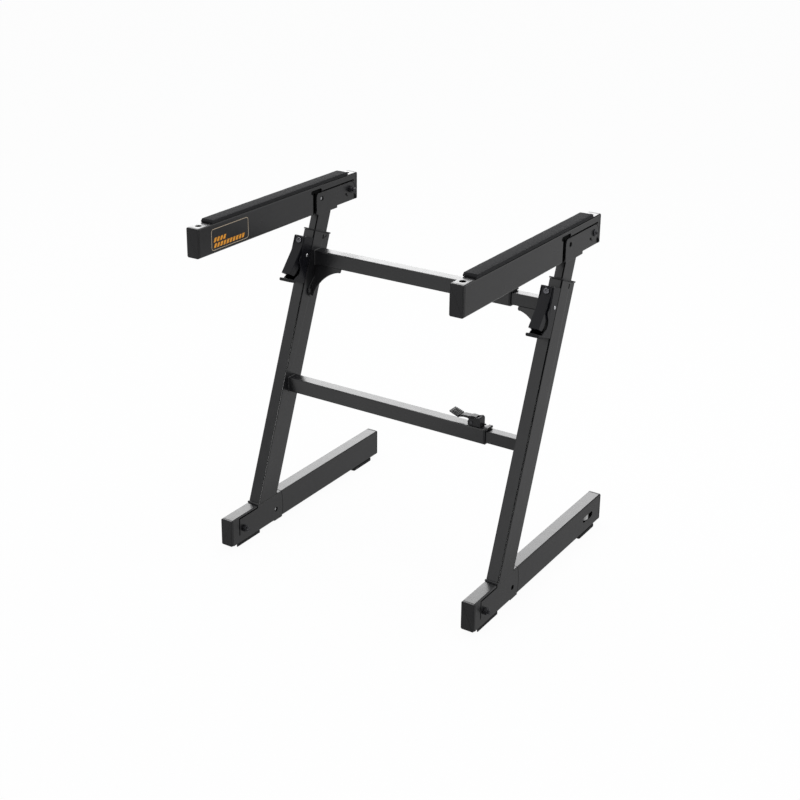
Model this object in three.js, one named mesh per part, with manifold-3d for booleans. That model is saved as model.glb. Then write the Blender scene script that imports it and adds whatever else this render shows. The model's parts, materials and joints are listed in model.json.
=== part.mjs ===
// A folding z keyboard stand, in millimetres. +X runs along the crossbars, +Y to the rear, +Z up.
// Two z-shaped side frames, each a foot, a leaning telescopic leg and an arm, are joined by two
// telescopic crossbars. The feet and arms fold out in line with the legs, the legs telescope up,
// the crossbars pull out, a cam lever clamps the lower one and a thumbwheel levels one foot.
// The origin is at floor level under the centre of the stand's box.
import * as THREE from "three";
import { mergeVertices } from "three/addons/utils/BufferGeometryUtils.js";
import Module from "manifold-3d";

const wasm = await Module();
wasm.setup();

// Driving dimensions of the side frames
const FRAME_X = 277.5; // centre plane of each side frame
const TUBE_W = 27; // width of the foot, leg and arm tubes
const TUBE_D = 57; // depth of the same tubes
const TUBE_R = 3; // their rounded long edges
const WALL = 2; // wall of the big tubes
const GAP = 0.3; // clearance between pieces that seat on each other
const PLATE = 2.2; // hinge bracket plate
const TONGUE_W = 22; // tongue that turns between the two plates of a hinge bracket
const BOLT_R = 4;
const BOLT_CLEAR = 0.3;
const LOCK_PIN_R = 4;
const LOCK_HOLE_R = 5;
const CAP_T = 3; // flange of a plastic tube cap
const CHANNEL_TOP = 2.5; // thickness of the foot bracket's closed top

// Foot, seen from the side: Y and Z
const FOOT_BOTTOM = 6.5;
const FOOT_TOP = FOOT_BOTTOM + TUBE_D;
const FOOT_FRONT = -226.8;
const FOOT_REAR = 294;
const FOOT_BOLT = { y: -188.3, z: 32.4 };
const FOOT_LOCK = { y: -83.1, z: 28.9 };
const FOOT_BRACKET_REACH = 127; // the bracket's rear edge is an arc of this radius about the bolt
const FOOT_BRACKET_LIP = 2; // the bracket plates hang this much lower beside the leg
const FOOT_LIP_START = -90;
const FRONT_PAD = { y0: -212, y1: -139 };
const REAR_PAD = { y0: 202, y1: 269.7 };
const LEVEL_WHEEL = { y: 237.5, z: 35, r: 13, height: 11.2 };
const LEVEL_WINDOW = { length: 43, height: 12 };
const LEVEL_STEM_R = 5;

// Leg: a frame of its own leans back about X, its local Y runs to the rear and its Z up the leg
const LEG_BASE = { y: -109.7, z: 63.2 };
const LEG_TILT = 20.88; // degrees
const LEG_TOP = 558; // along the leg, as are the other lengths below
const BUSH_LIP = 3;
const INNER_W = 18;
const INNER_D = 43;
const INNER_BOTTOM = 262;
const LOCK_ROW = { top: 533, pitch: 30, count: 9 };
const LATCH = { bottom: 449.5, top: 543, pivotN: -38.8, pivotS: 506.4, wall: 2 };
const GUSSET_RIVET = { n: 3, s: 441 };

// Arm, seen from the side
const ARM_TOP = 685;
const ARM_BOTTOM = ARM_TOP - TUBE_D;
const ARM_FRONT = -294;
const ARM_REAR = 212.2;
const ARM_BOLT = { y: 189.6, z: 653.3 };
const ARM_LOCK = { y: 89, z: 655.8 };
const ARM_GAP = { y0: 63, y1: 70.5 }; // open slot between the arm's front part and the bracket
const ARM_PLATE_TOP = 669;
const ARM_DISC_R = 15.7; // bracket plates round the bolt
const ARM_BASE = { y0: 74, y1: 141.8, z0: 624.5, z1: 627.7 };
const ARM_PAD = { y0: -254.5, y1: 181, width: 25, height: 9 };
const ARM_TOP_HOLES = [{ y: -277, r: 6 }, { y: 196, r: 5 }];

// Crossbars: centre line and the outer tube's end; the outer and inner tubes, Y by Z
const LOWER_BAR = { y: -21.4, z: 292.6, end: 191 };
const UPPER_BAR = { y: 73, z: 538.8, end: 184 };
const BAR_OUT = { d: 26, h: 30.4, r: 2.5 };
const BAR_IN = { d: 20.4, h: 24.4, r: 2 };
const BAR_WALL = 1.8;
const INNER_BAR_START = -190;
const BAR_BUSH_LIP = 3;

// The bolts stand out further on +X than on -X, so the frames sit off the box's centre by half of it
const BOLT_HEAD = 4.5;
const NUT_H = 6.5;
const STUD_OUT = 12;
const BOX_SHIFT = (STUD_OUT - BOLT_HEAD) / 2;

const steel = { roughness: 0.42, metalness: 0.2 };
const MATERIALS = {
  coated: new THREE.MeshStandardMaterial({ color: 0x2b2b2e, ...steel }),
  latch: new THREE.MeshStandardMaterial({ color: 0x222226, ...steel }),
  plastic: new THREE.MeshStandardMaterial({ color: 0x151517, roughness: 0.55, metalness: 0 }),
  foam: new THREE.MeshStandardMaterial({ color: 0x161618, roughness: 0.95, metalness: 0 }),
  rubber: new THREE.MeshStandardMaterial({ color: 0x131315, roughness: 0.85, metalness: 0 }),
  zinc: new THREE.MeshStandardMaterial({ color: 0xc4c6ca, roughness: 0.3, metalness: 0.9 }),
  blackBolt: new THREE.MeshStandardMaterial({ color: 0x1d1d20, roughness: 0.35, metalness: 0.6 }),
};

// Solids

function solid(geometry) {
  const bare = geometry.clone();
  bare.deleteAttribute("normal");
  bare.deleteAttribute("uv");
  const merged = mergeVertices(bare, 1e-4);
  const mesh = new wasm.Mesh({
    numProp: 3,
    vertProperties: Float32Array.from(merged.attributes.position.array),
    triVerts: Uint32Array.from(merged.index.array),
  });
  return new wasm.Manifold(mesh);
}

function geometryOf(body) {
  const mesh = body.getMesh();
  const geometry = new THREE.BufferGeometry();
  geometry.setAttribute("position", new THREE.BufferAttribute(Float32Array.from(mesh.vertProperties), 3));
  geometry.setIndex(new THREE.BufferAttribute(Uint32Array.from(mesh.triVerts), 1));
  geometry.computeVertexNormals();
  return geometry;
}

function addPiece(group, name, body, material) {
  const mesh = new THREE.Mesh(geometryOf(body), material);
  mesh.name = name;
  group.add(mesh);
  return mesh;
}

const UNIT_X = new THREE.Vector3(1, 0, 0);
const UNIT_Y = new THREE.Vector3(0, 1, 0);
const UNIT_Z = new THREE.Vector3(0, 0, 1);

function extruded(shape, depth, segments) {
  return new THREE.ExtrudeGeometry(shape, { depth, bevelEnabled: false, curveSegments: segments });
}

// A shape drawn in Y and Z, extruded along X
function alongX(shape, x0, x1, segments = 2) {
  const geometry = extruded(shape, x1 - x0, segments);
  geometry.applyMatrix4(new THREE.Matrix4().makeBasis(UNIT_Y, UNIT_Z, UNIT_X));
  geometry.translate(x0, 0, 0);
  return solid(geometry);
}

// A shape drawn in X and Z, extruded along Y
function alongY(shape, y0, y1, segments = 2) {
  const geometry = extruded(shape, y1 - y0, segments);
  geometry.applyMatrix4(new THREE.Matrix4().makeBasis(UNIT_X, UNIT_Z, UNIT_Y.clone().negate()));
  geometry.translate(0, y1, 0);
  return solid(geometry);
}

// A shape drawn in X and Y, extruded along Z
function alongZ(shape, z0, z1, segments = 2) {
  const geometry = extruded(shape, z1 - z0, segments);
  geometry.translate(0, 0, z0);
  return solid(geometry);
}

function block(x0, x1, y0, y1, z0, z1) {
  const geometry = new THREE.BoxGeometry(x1 - x0, y1 - y0, z1 - z0);
  geometry.translate((x0 + x1) / 2, (y0 + y1) / 2, (z0 + z1) / 2);
  return solid(geometry);
}

// A round bar along X through the point (y, z)
function rodX(radius, x0, x1, y, z, sides = 12) {
  const geometry = new THREE.CylinderGeometry(radius, radius, x1 - x0, sides);
  geometry.rotateZ(-Math.PI / 2);
  geometry.translate((x0 + x1) / 2, y, z);
  return solid(geometry);
}

function rodY(radius, y0, y1, x, z, sides = 12) {
  const geometry = new THREE.CylinderGeometry(radius, radius, y1 - y0, sides);
  geometry.translate(x, (y0 + y1) / 2, z);
  return solid(geometry);
}

function rodZ(radius, z0, z1, x, y, sides = 12) {
  const geometry = new THREE.CylinderGeometry(radius, radius, z1 - z0, sides);
  geometry.rotateX(Math.PI / 2);
  geometry.translate(x, y, (z0 + z1) / 2);
  return solid(geometry);
}

// A profile of [radius, height] pairs turned about Z
function turnedZ(profile, sides = 12) {
  const points = profile.map(([r, h]) => new THREE.Vector2(r, h));
  const geometry = new THREE.LatheGeometry(points, sides);
  geometry.rotateX(Math.PI / 2);
  return solid(geometry);
}

// The same profile turned about X
function turnedX(profile, sides = 12) {
  const points = profile.map(([r, h]) => new THREE.Vector2(r, h));
  const geometry = new THREE.LatheGeometry(points, sides);
  geometry.rotateZ(-Math.PI / 2);
  return solid(geometry);
}

// Shapes

function roundedRect(width, height, radius, x = 0, y = 0) {
  const shape = new THREE.Shape();
  const right = x + width / 2;
  const left = x - width / 2;
  const top = y + height / 2;
  const bottom = y - height / 2;
  shape.moveTo(left + radius, bottom);
  shape.lineTo(right - radius, bottom);
  shape.absarc(right - radius, bottom + radius, radius, -Math.PI / 2, 0, false);
  shape.lineTo(right, top - radius);
  shape.absarc(right - radius, top - radius, radius, 0, Math.PI / 2, false);
  shape.lineTo(left + radius, top);
  shape.absarc(left + radius, top - radius, radius, Math.PI / 2, Math.PI, false);
  shape.lineTo(left, bottom + radius);
  shape.absarc(left + radius, bottom + radius, radius, Math.PI, 1.5 * Math.PI, false);
  return shape;
}

// A hollow rounded tube section
function tubeSection(width, height, radius, wall, x = 0, y = 0) {
  const shape = roundedRect(width, height, radius, x, y);
  shape.holes.push(roundedRect(width - 2 * wall, height - 2 * wall, Math.max(radius - wall, 0.6), x, y));
  return shape;
}

function polygon(points) {
  return new THREE.Shape(points.map(([a, b]) => new THREE.Vector2(a, b)));
}

// A slot with round ends, centred on (a, b) and running along the first axis
function slotShape(length, height, a, b) {
  return roundedRect(length, height, height / 2 - 0.01, a, b);
}

const deg = THREE.MathUtils.degToRad;
const HALF_W = TUBE_W / 2;
const HALF_D = TUBE_D / 2;
const PLATE_IN = HALF_W - PLATE; // inner face of a bracket plate, from the frame's centre plane
const TONGUE_HALF = TONGUE_W / 2;

// Plastic caps: a flange with softened outer edges and a plug that enters the tube's bore

function tubeCap(yFace, outward, plugWidth, plugDepth, plugHeight, zCentre) {
  const bevel = 1;
  const section = roundedRect(TUBE_W - 2 * bevel, TUBE_D - 2 * bevel, TUBE_R - bevel, 0, zCentre);
  const geometry = new THREE.ExtrudeGeometry(section, {
    depth: CAP_T + bevel,
    bevelEnabled: true,
    bevelThickness: bevel,
    bevelSize: bevel,
    bevelSegments: 1,
    curveSegments: 2,
  });
  geometry.applyMatrix4(new THREE.Matrix4().makeBasis(UNIT_X, UNIT_Z, UNIT_Y.clone().negate()));
  geometry.translate(0, CAP_T, 0);
  const flange = solid(geometry).subtract(block(-20, 20, CAP_T, 60, zCentre - 40, zCentre + 40));
  const plug = alongY(roundedRect(plugWidth, plugHeight, 1, 0, zCentre), CAP_T - 0.5, CAP_T + plugDepth, 2);
  const cap = geometryOf(flange.add(plug));
  if (outward > 0) {
    cap.rotateZ(Math.PI);
  }
  cap.translate(0, yFace, 0);
  return solid(cap);
}

// Hinge hardware: a button-head bolt through bracket and tongue, with its nut on the far side

const HINGE_BOLT = turnedX([
  [0, -HALF_W - BOLT_HEAD],
  [3.4, -HALF_W - BOLT_HEAD],
  [5.6, -HALF_W - BOLT_HEAD + 1.1],
  [7, -HALF_W - BOLT_HEAD + 3],
  [7, -HALF_W - GAP],
  [BOLT_R, -HALF_W - GAP],
  [BOLT_R, HALF_W + STUD_OUT - 1],
  [BOLT_R - 1, HALF_W + STUD_OUT],
  [0, HALF_W + STUD_OUT],
]);

function hexNut() {
  const geometry = new THREE.CylinderGeometry(7.5, 7.5, NUT_H, 6);
  geometry.rotateZ(-Math.PI / 2);
  geometry.translate(HALF_W + GAP + NUT_H / 2, 0, 0);
  const chamfer = turnedX([
    [0, HALF_W],
    [6.6, HALF_W],
    [8, HALF_W + 1.2],
    [8, HALF_W + NUT_H - 0.8],
    [6.6, HALF_W + NUT_H + 0.4],
    [0, HALF_W + NUT_H + 0.4],
  ]);
  const bore = rodX(BOLT_R + GAP, HALF_W - 1, HALF_W + NUT_H + 2, 0, 0);
  return solid(geometry).intersect(chamfer).subtract(bore);
}

function addHingeBolt(group, prefix, at, nutSide) {
  const bolt = addPiece(group, `${prefix}_bolt`, HINGE_BOLT, MATERIALS.blackBolt);
  const nut = addPiece(group, `${prefix}_nut`, hexNut(), MATERIALS.blackBolt);
  for (const mesh of [bolt, nut]) {
    mesh.position.set(0, at.y, at.z);
    mesh.rotation.z = nutSide > 0 ? 0 : Math.PI;
  }
}

// A spring button in the tongue, drawn pressed in so that the hinge is free to turn
function addLockPin(group, name, at, inward) {
  const button = turnedX([
    [0, -2.5],
    [LOCK_PIN_R, -2.5],
    [LOCK_PIN_R, TONGUE_HALF - 1],
    [LOCK_PIN_R - 1, TONGUE_HALF],
    [0, TONGUE_HALF],
  ]);
  const mesh = addPiece(group, name, button, MATERIALS.zinc);
  mesh.position.set(0, at.y, at.z);
  mesh.rotation.z = inward > 0 ? 0 : Math.PI;
}

// The round seat of the spring button: a boss across the tongue, bored from the inner side
function lockBoss(at) {
  return rodX(LOCK_PIN_R + 4, -TONGUE_HALF + 1, TONGUE_HALF - 1, at.y, at.z);
}

function lockBore(at, inward) {
  const deep = -4 * inward;
  const mouth = HALF_W * inward;
  return rodX(LOCK_PIN_R + GAP, Math.min(deep, mouth), Math.max(deep, mouth), at.y, at.z);
}

// Foot bracket: an inverted channel that carries the leg and holds the foot's tongue

function footBracket() {
  const arc = FOOT_BRACKET_REACH;
  const lipBottom = FOOT_BOTTOM - FOOT_BRACKET_LIP;
  const arcStart = Math.asin((lipBottom - FOOT_BOLT.z) / arc);
  const arcEnd = Math.asin((FOOT_TOP - FOOT_BOLT.z) / arc);
  const outline = new THREE.Shape();
  outline.moveTo(FOOT_FRONT + CAP_T + GAP, FOOT_BOTTOM);
  outline.lineTo(FOOT_LIP_START - 2, FOOT_BOTTOM);
  outline.lineTo(FOOT_LIP_START, lipBottom);
  outline.absarc(FOOT_BOLT.y, FOOT_BOLT.z, arc, arcStart, arcEnd, false);
  outline.lineTo(FOOT_FRONT + CAP_T + GAP, FOOT_TOP);

  const section = new THREE.Shape();
  section.moveTo(-HALF_W, 0);
  section.lineTo(HALF_W, 0);
  section.absarc(HALF_W - TUBE_R, FOOT_TOP - TUBE_R, TUBE_R, 0, Math.PI / 2, false);
  section.absarc(-HALF_W + TUBE_R, FOOT_TOP - TUBE_R, TUBE_R, Math.PI / 2, Math.PI, false);

  const channelTop = FOOT_TOP - CHANNEL_TOP;
  const slit = 2.8; // relief slit: across the top in front of the leg, then an L in each plate
  const slitZ = 58.6;
  const slitFront = -203.3;
  const slitRear = -143.4;
  const slitBottom = 22;
  return alongX(outline, -HALF_W, HALF_W, 4)
    .intersect(alongY(section, FOOT_FRONT, -40))
    .subtract(block(-PLATE_IN, PLATE_IN, -250, -40, -10, channelTop))
    .subtract(block(-20, 20, slitFront, slitRear, slitZ - slit / 2, slitZ + slit / 2))
    .subtract(block(-20, 20, slitFront - slit / 2, slitFront + slit / 2, slitBottom, slitZ + slit / 2))
    .subtract(block(-20, 20, slitRear - slit, slitRear, slitZ, FOOT_TOP + 1))
    .subtract(rodX(BOLT_R + BOLT_CLEAR, -20, 20, FOOT_BOLT.y, FOOT_BOLT.z))
    .subtract(rodX(LOCK_HOLE_R, -20, 20, FOOT_LOCK.y, FOOT_LOCK.z));
}

// Foot tube: the full section behind the bracket, a narrower tongue reaching forward to the bolt

function footTube(inward, levelled) {
  const capFace = FOOT_REAR - CAP_T - GAP;
  const zMid = (FOOT_BOTTOM + FOOT_TOP) / 2;
  const tubeFront = FOOT_BOLT.y + FOOT_BRACKET_REACH - 6;
  const sweep = rodX(FOOT_BRACKET_REACH + 0.8, -30, 30, FOOT_BOLT.y, FOOT_BOLT.z, 96);
  const tube = alongY(roundedRect(TUBE_W, TUBE_D, TUBE_R, 0, zMid), tubeFront, capFace).subtract(sweep);

  const top = FOOT_TOP - CHANNEL_TOP - 0.4; // rests under the channel's closed top
  const bottom = FOOT_BOLT.z - 22;
  const noseR = top - FOOT_BOLT.z;
  const noseEnd = Math.PI + Math.asin((FOOT_BOLT.z - bottom) / noseR);
  const nose = new THREE.Shape();
  nose.moveTo(-40, top);
  nose.absarc(FOOT_BOLT.y, FOOT_BOLT.z, noseR, Math.PI / 2, noseEnd, false);
  nose.lineTo(-40, bottom);
  const tongue = alongX(nose, -TONGUE_HALF, TONGUE_HALF, 8);

  const rearBore = roundedRect(TUBE_W - 2 * WALL, TUBE_D - 2 * WALL, 1, 0, zMid);
  const tongueBore = roundedRect(TONGUE_W - 2 * PLATE, top - bottom - 2 * WALL, 1, 0, (top + bottom) / 2);
  let foot = tube
    .add(tongue)
    .subtract(alongY(rearBore, -56, FOOT_REAR))
    .subtract(alongY(tongueBore, FOOT_BOLT.y + 22, -50))
    .add(lockBoss(FOOT_LOCK))
    .subtract(lockBore(FOOT_LOCK, inward))
    .subtract(rodX(BOLT_R + BOLT_CLEAR, -20, 20, FOOT_BOLT.y, FOOT_BOLT.z));
  if (levelled) {
    const window = slotShape(LEVEL_WINDOW.length, LEVEL_WINDOW.height, LEVEL_WHEEL.y, LEVEL_WHEEL.z);
    foot = foot
      .subtract(alongX(window, -20, 20, 4))
      .subtract(rodZ(LEVEL_STEM_R + GAP, 0, zMid, 0, LEVEL_WHEEL.y));
  }
  return foot;
}

function frontPad(sideX) {
  const x0 = sideX > 0 ? PLATE_IN : -HALF_W;
  return block(x0, x0 + PLATE, FRONT_PAD.y0, FRONT_PAD.y1, 0, FOOT_BOTTOM - GAP);
}

function rearPad() {
  const yMid = (REAR_PAD.y0 + REAR_PAD.y1) / 2;
  const plan = roundedRect(TUBE_W, REAR_PAD.y1 - REAR_PAD.y0, TUBE_R, 0, yMid);
  return alongZ(plan, 0, FOOT_BOTTOM - GAP);
}

// The levelling pad's threaded stem stands up through the thumbwheel
function levellingFoot() {
  return rearPad().add(rodZ(LEVEL_STEM_R, 3, 54, 0, LEVEL_WHEEL.y));
}

function levelWheel() {
  const ridges = 14;
  const crest = LEVEL_WHEEL.r;
  const root = LEVEL_WHEEL.r - 0.8;
  const ridge = [[0, crest], [0.5, crest], [0.65, root], [0.85, root]];
  const outline = new THREE.Shape();
  for (let i = 0; i < ridges; i += 1) {
    for (const [step, radius] of ridge) {
      const angle = ((i + step) / ridges) * 2 * Math.PI;
      const point = [radius * Math.cos(angle), radius * Math.sin(angle)];
      if (i === 0 && step === 0) {
        outline.moveTo(...point);
      } else {
        outline.lineTo(...point);
      }
    }
  }
  const bore = new THREE.Path();
  bore.absarc(0, 0, LEVEL_STEM_R + GAP, 0, 2 * Math.PI, true);
  outline.holes.push(bore);
  const half = LEVEL_WHEEL.height / 2;
  return alongZ(outline, LEVEL_WHEEL.z - half, LEVEL_WHEEL.z + half, 12);
}

// Leg pieces are made in the leg's own leaning frame: Y is n, to the rear, and Z is s, up the leg

function horizontalSlab(z0, z1) {
  const geometry = new THREE.BoxGeometry(200, 1200, z1 - z0);
  geometry.translate(0, 0, (z0 + z1) / 2 - LEG_BASE.z);
  geometry.rotateX(deg(LEG_TILT));
  return solid(geometry);
}

function legTube() {
  const pinHole = rodY(4.5, -HALF_D - 5, 0, 0, LOCK_ROW.top);
  const snapSlot = roundedRect(4, 9, 1, 5.5, 549.8);
  return alongZ(tubeSection(TUBE_W, TUBE_D, TUBE_R, WALL), -20, LEG_TOP)
    .subtract(horizontalSlab(FOOT_TOP - 100, FOOT_TOP + GAP))
    .subtract(pinHole)
    .subtract(alongX(snapSlot, -20, 20, 2));
}

function legBush() {
  const clear = 0.4;
  const bore = roundedRect(INNER_W + 2 * clear, INNER_D + 2 * clear, 2.5);
  const inside = roundedRect(TUBE_W - 2 * WALL - 2 * GAP, TUBE_D - 2 * WALL - 2 * GAP, 1);
  const lip = alongZ(roundedRect(TUBE_W + 2, TUBE_D + 2.4, TUBE_R), LEG_TOP + GAP, LEG_TOP + GAP + BUSH_LIP);
  const sleeve = alongZ(inside, LEG_TOP - 32, LEG_TOP + GAP + 1);
  return lip
    .add(sleeve)
    .subtract(alongZ(bore, LEG_TOP - 40, LEG_TOP + 10))
    .subtract(rodY(5, -HALF_D, 0, 0, LOCK_ROW.top));
}

function innerTube() {
  let tube = alongZ(tubeSection(INNER_W, INNER_D, 2.5, WALL), INNER_BOTTOM, 640)
    .subtract(horizontalSlab(ARM_BASE.z0 - GAP, ARM_BASE.z0 + 100));
  for (let i = 0; i < LOCK_ROW.count; i += 1) {
    tube = tube.subtract(rodY(4, -INNER_D / 2 - 2, -8, 0, LOCK_ROW.top - i * LOCK_ROW.pitch, 8));
  }
  return tube;
}

// Latch housing: a channel on the leg's front face, with a finger shelf at the bottom
function latchHousing() {
  const back = -HALF_D - GAP;
  const floor = back - LATCH.wall;
  const outline = new THREE.Shape();
  outline.moveTo(back, LATCH.bottom);
  outline.lineTo(-76.5, LATCH.bottom);
  outline.absarc(-76.5, LATCH.bottom + 1.5, 1.5, 1.5 * Math.PI, Math.PI / 2, true);
  outline.lineTo(-65, LATCH.bottom + 3);
  outline.bezierCurveTo(-63, 457, -56, 462, -53, 464);
  outline.bezierCurveTo(-50, 470, -50, 478, -52.5, 482);
  outline.bezierCurveTo(-58, 490, -66, 492, -57.7, 502);
  outline.lineTo(-56.7, 540);
  outline.absarc(-53.7, 540, 3, Math.PI, Math.PI / 2, true);
  outline.lineTo(back, LATCH.top);
  const inside = HALF_W - LATCH.wall;
  const channel = block(-inside, inside, -100, floor, LATCH.bottom + 3, LATCH.top + 5);
  return alongX(outline, -HALF_W, HALF_W, 4)
    .subtract(channel)
    .subtract(rodY(4.5, -40, -20, 0, LOCK_ROW.top))
    .add(rodX(2.5, -HALF_W - 0.8, HALF_W + 0.8, LATCH.pivotN, LATCH.pivotS, 10));
}

// Latch lever: a channel that turns on the housing's rivet, its foot standing out for the hand
function latchLever() {
  const half = 10.5;
  const outline = new THREE.Shape();
  outline.moveTo(-56.7, 541.5);
  outline.lineTo(-56.8, 525.5);
  outline.lineTo(-79.7, 462.5);
  outline.lineTo(-64.5, 459.8);
  outline.bezierCurveTo(-55, 466, -56, 480, -46, 498);
  outline.absarc(LATCH.pivotN, LATCH.pivotS, 5.5, deg(-135), deg(100), false);
  outline.lineTo(-44.5, 541.5);
  const hollow = polygon([[-54.5, 539.5], [-54.6, 525], [-76.8, 464.5], [-20, 440], [-20, 539.5]]);
  const slot = roundedRect(6, 9.5, 2.9, 0, LOCK_ROW.top + 1.8);
  return alongX(outline, -half, half, 4)
    .subtract(alongX(hollow, -half + 2, half - 2))
    .subtract(alongY(slot, -70, -50, 2))
    .subtract(rodX(2.8, -20, 20, LATCH.pivotN, LATCH.pivotS, 10));
}

// Latch pin: a round head on the lever's face and a shank that enters the lock holes
function latchPin() {
  const tip = -INNER_D / 2 - GAP;
  const head = -57.1;
  const pin = turnedZ([
    [0, 0],
    [2, 0],
    [2.5, 0.8],
    [2.5, -head + tip],
    [6, -head + tip],
    [6, -head + tip + 1.8],
    [4.6, -head + tip + 3],
    [0, -head + tip + 3],
  ]);
  const geometry = geometryOf(pin);
  geometry.rotateX(Math.PI / 2);
  geometry.translate(0, tip, LOCK_ROW.top);
  return solid(geometry);
}

// Gusset between a leg and the upper crossbar: a web with a concave edge, a flange under the bar
// and a rounded flange on the leg's inner face
function gusset(inward, barBottom) {
  const web = 3;
  const flange = 2.5;
  const legFace = HALF_W + GAP;
  const topS = (barBottom - GAP - LEG_BASE.z) / Math.cos(deg(LEG_TILT));
  const outline = new THREE.Shape();
  outline.moveTo(legFace, topS + 6);
  outline.lineTo(legFace + 62, topS + 6);
  outline.lineTo(legFace + 62, topS - 5);
  outline.absarc(legFace + 58, topS - 5, 4, 0, -Math.PI / 2, true);
  outline.absarc(legFace + 70.5, topS - 69, 62, deg(101), deg(176.5), false);
  outline.lineTo(legFace, topS - 63);
  const webPlate = alongY(outline, -web / 2, web / 2, 8);

  const lobe = new THREE.Shape();
  lobe.moveTo(-13, topS + 6);
  lobe.absarc(GUSSET_RIVET.n, GUSSET_RIVET.s, 16, Math.PI, 2 * Math.PI, false);
  lobe.lineTo(13, topS + 6);
  const legFlange = alongX(lobe, legFace, legFace + flange, 8)
    .add(rodX(4, legFace + 1, legFace + flange + 1.5, GUSSET_RIVET.n, GUSSET_RIVET.s, 8));

  const slab = horizontalSlab(barBottom - GAP - flange, barBottom - GAP);
  const barPlan = new THREE.Shape();
  barPlan.moveTo(legFace, -web / 2);
  barPlan.lineTo(legFace + 62, -web / 2);
  barPlan.absarc(legFace + 54, 5, 8, 0, Math.PI / 2, false);
  barPlan.lineTo(legFace, 13);
  const barFlange = alongZ(barPlan, topS - 20, topS + 20, 2).intersect(slab);

  const body = webPlate
    .add(legFlange)
    .add(barFlange)
    .subtract(horizontalSlab(barBottom - GAP, barBottom + 60))
    .subtract(rodZ(2.6, topS - 4, topS + 8, legFace + 52, 7, 8));
  const geometry = geometryOf(body);
  if (inward < 0) {
    geometry.applyMatrix4(new THREE.Matrix4().makeScale(-1, 1, 1));
    geometry.index.array.reverse();
  }
  return solid(geometry);
}

// Arm bracket: a base on the inner tube and two plates up to a disc round the arm's bolt

function armBracket() {
  const r = ARM_DISC_R;
  const neckAngle = deg(-162); // the neck's lower edge stays clear of the turning arm
  const neckReach = 37;
  const plates = new THREE.Shape();
  plates.moveTo(ARM_BASE.y0, ARM_BASE.z0);
  plates.lineTo(ARM_GAP.y1, ARM_BASE.z0 + 3.5);
  plates.absarc(ARM_GAP.y1 + 9, ARM_PLATE_TOP - 9, 9, Math.PI, Math.PI / 2, true);
  plates.absarc(ARM_BOLT.y, ARM_BOLT.z, r, Math.PI / 2, neckAngle, true);
  plates.lineTo(ARM_BOLT.y + neckReach * Math.cos(neckAngle), ARM_BOLT.z + neckReach * Math.sin(neckAngle));
  plates.lineTo(ARM_BASE.y1, ARM_BASE.z1 + 3);
  plates.lineTo(ARM_BASE.y1, ARM_BASE.z0);
  return alongX(plates, -HALF_W, HALF_W, 6)
    .subtract(block(-PLATE_IN, PLATE_IN, 0, 260, ARM_BASE.z1, 700))
    .subtract(rodX(BOLT_R + BOLT_CLEAR, -20, 20, ARM_BOLT.y, ARM_BOLT.z))
    .subtract(rodX(LOCK_HOLE_R, -20, 20, ARM_LOCK.y, ARM_LOCK.z));
}

function gapSlot(xa, xb, top) {
  return block(Math.min(xa, xb), Math.max(xa, xb), ARM_GAP.y0, ARM_GAP.y1, ARM_BOTTOM - 5, top);
}

// Arm tube: full section in front, a recessed core between the bracket plates, a full rear end

function armTube(inward) {
  const clear = 0.6;
  const zMid = (ARM_TOP + ARM_BOTTOM) / 2;
  const front = ARM_FRONT + CAP_T + GAP;
  const rear = ARM_REAR - CAP_T - GAP;
  const stripZ = ARM_PLATE_TOP + 1.6;
  const recessEnd = deg(-40);
  const far = 42;
  const pocket = new THREE.Shape();
  pocket.moveTo(ARM_GAP.y0, ARM_BOTTOM - 5);
  pocket.lineTo(ARM_GAP.y0, stripZ);
  pocket.absarc(ARM_BOLT.y, ARM_BOLT.z, ARM_DISC_R + clear, Math.PI / 2, recessEnd, true);
  pocket.lineTo(ARM_BOLT.y + far * Math.cos(recessEnd), ARM_BOLT.z + far * Math.sin(recessEnd));
  pocket.lineTo(ARM_BOLT.y + far * Math.cos(recessEnd), ARM_BOTTOM - 5);
  const notch = slotShape(36, 8, 70, 674);
  const gapCore = 7; // half of the core left in the open slot in front of the bracket

  const frontBore = roundedRect(TUBE_W - 2 * WALL, TUBE_D - 2 * WALL, 1, 0, zMid);
  const rearBore = roundedRect(TONGUE_W - 2 * PLATE, TUBE_D - 2 * WALL - 1, 1, 0, zMid);
  let arm = alongY(roundedRect(TUBE_W, TUBE_D, TUBE_R, 0, zMid), front, rear);
  for (const sideX of [-1, 1]) {
    const inner = sideX * TONGUE_HALF;
    const outer = sideX * 20;
    arm = arm
      .subtract(alongX(pocket, Math.min(inner, outer), Math.max(inner, outer), 6))
      .subtract(gapSlot(sideX * gapCore, outer, stripZ))
      .subtract(alongX(notch, Math.min(inner, outer), Math.max(inner, outer), 3));
  }
  for (const hole of ARM_TOP_HOLES) {
    arm = arm.subtract(rodZ(hole.r, ARM_TOP - 5, ARM_TOP + 5, 0, hole.y));
  }
  return arm
    .subtract(alongY(frontBore, front - 1, ARM_GAP.y0 - 12))
    .subtract(alongY(rearBore, ARM_GAP.y0 - 14, rear + 1))
    .add(lockBoss(ARM_LOCK))
    .subtract(lockBore(ARM_LOCK, inward))
    .subtract(rodX(BOLT_R + BOLT_CLEAR, -20, 20, ARM_BOLT.y, ARM_BOLT.z));
}

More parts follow.
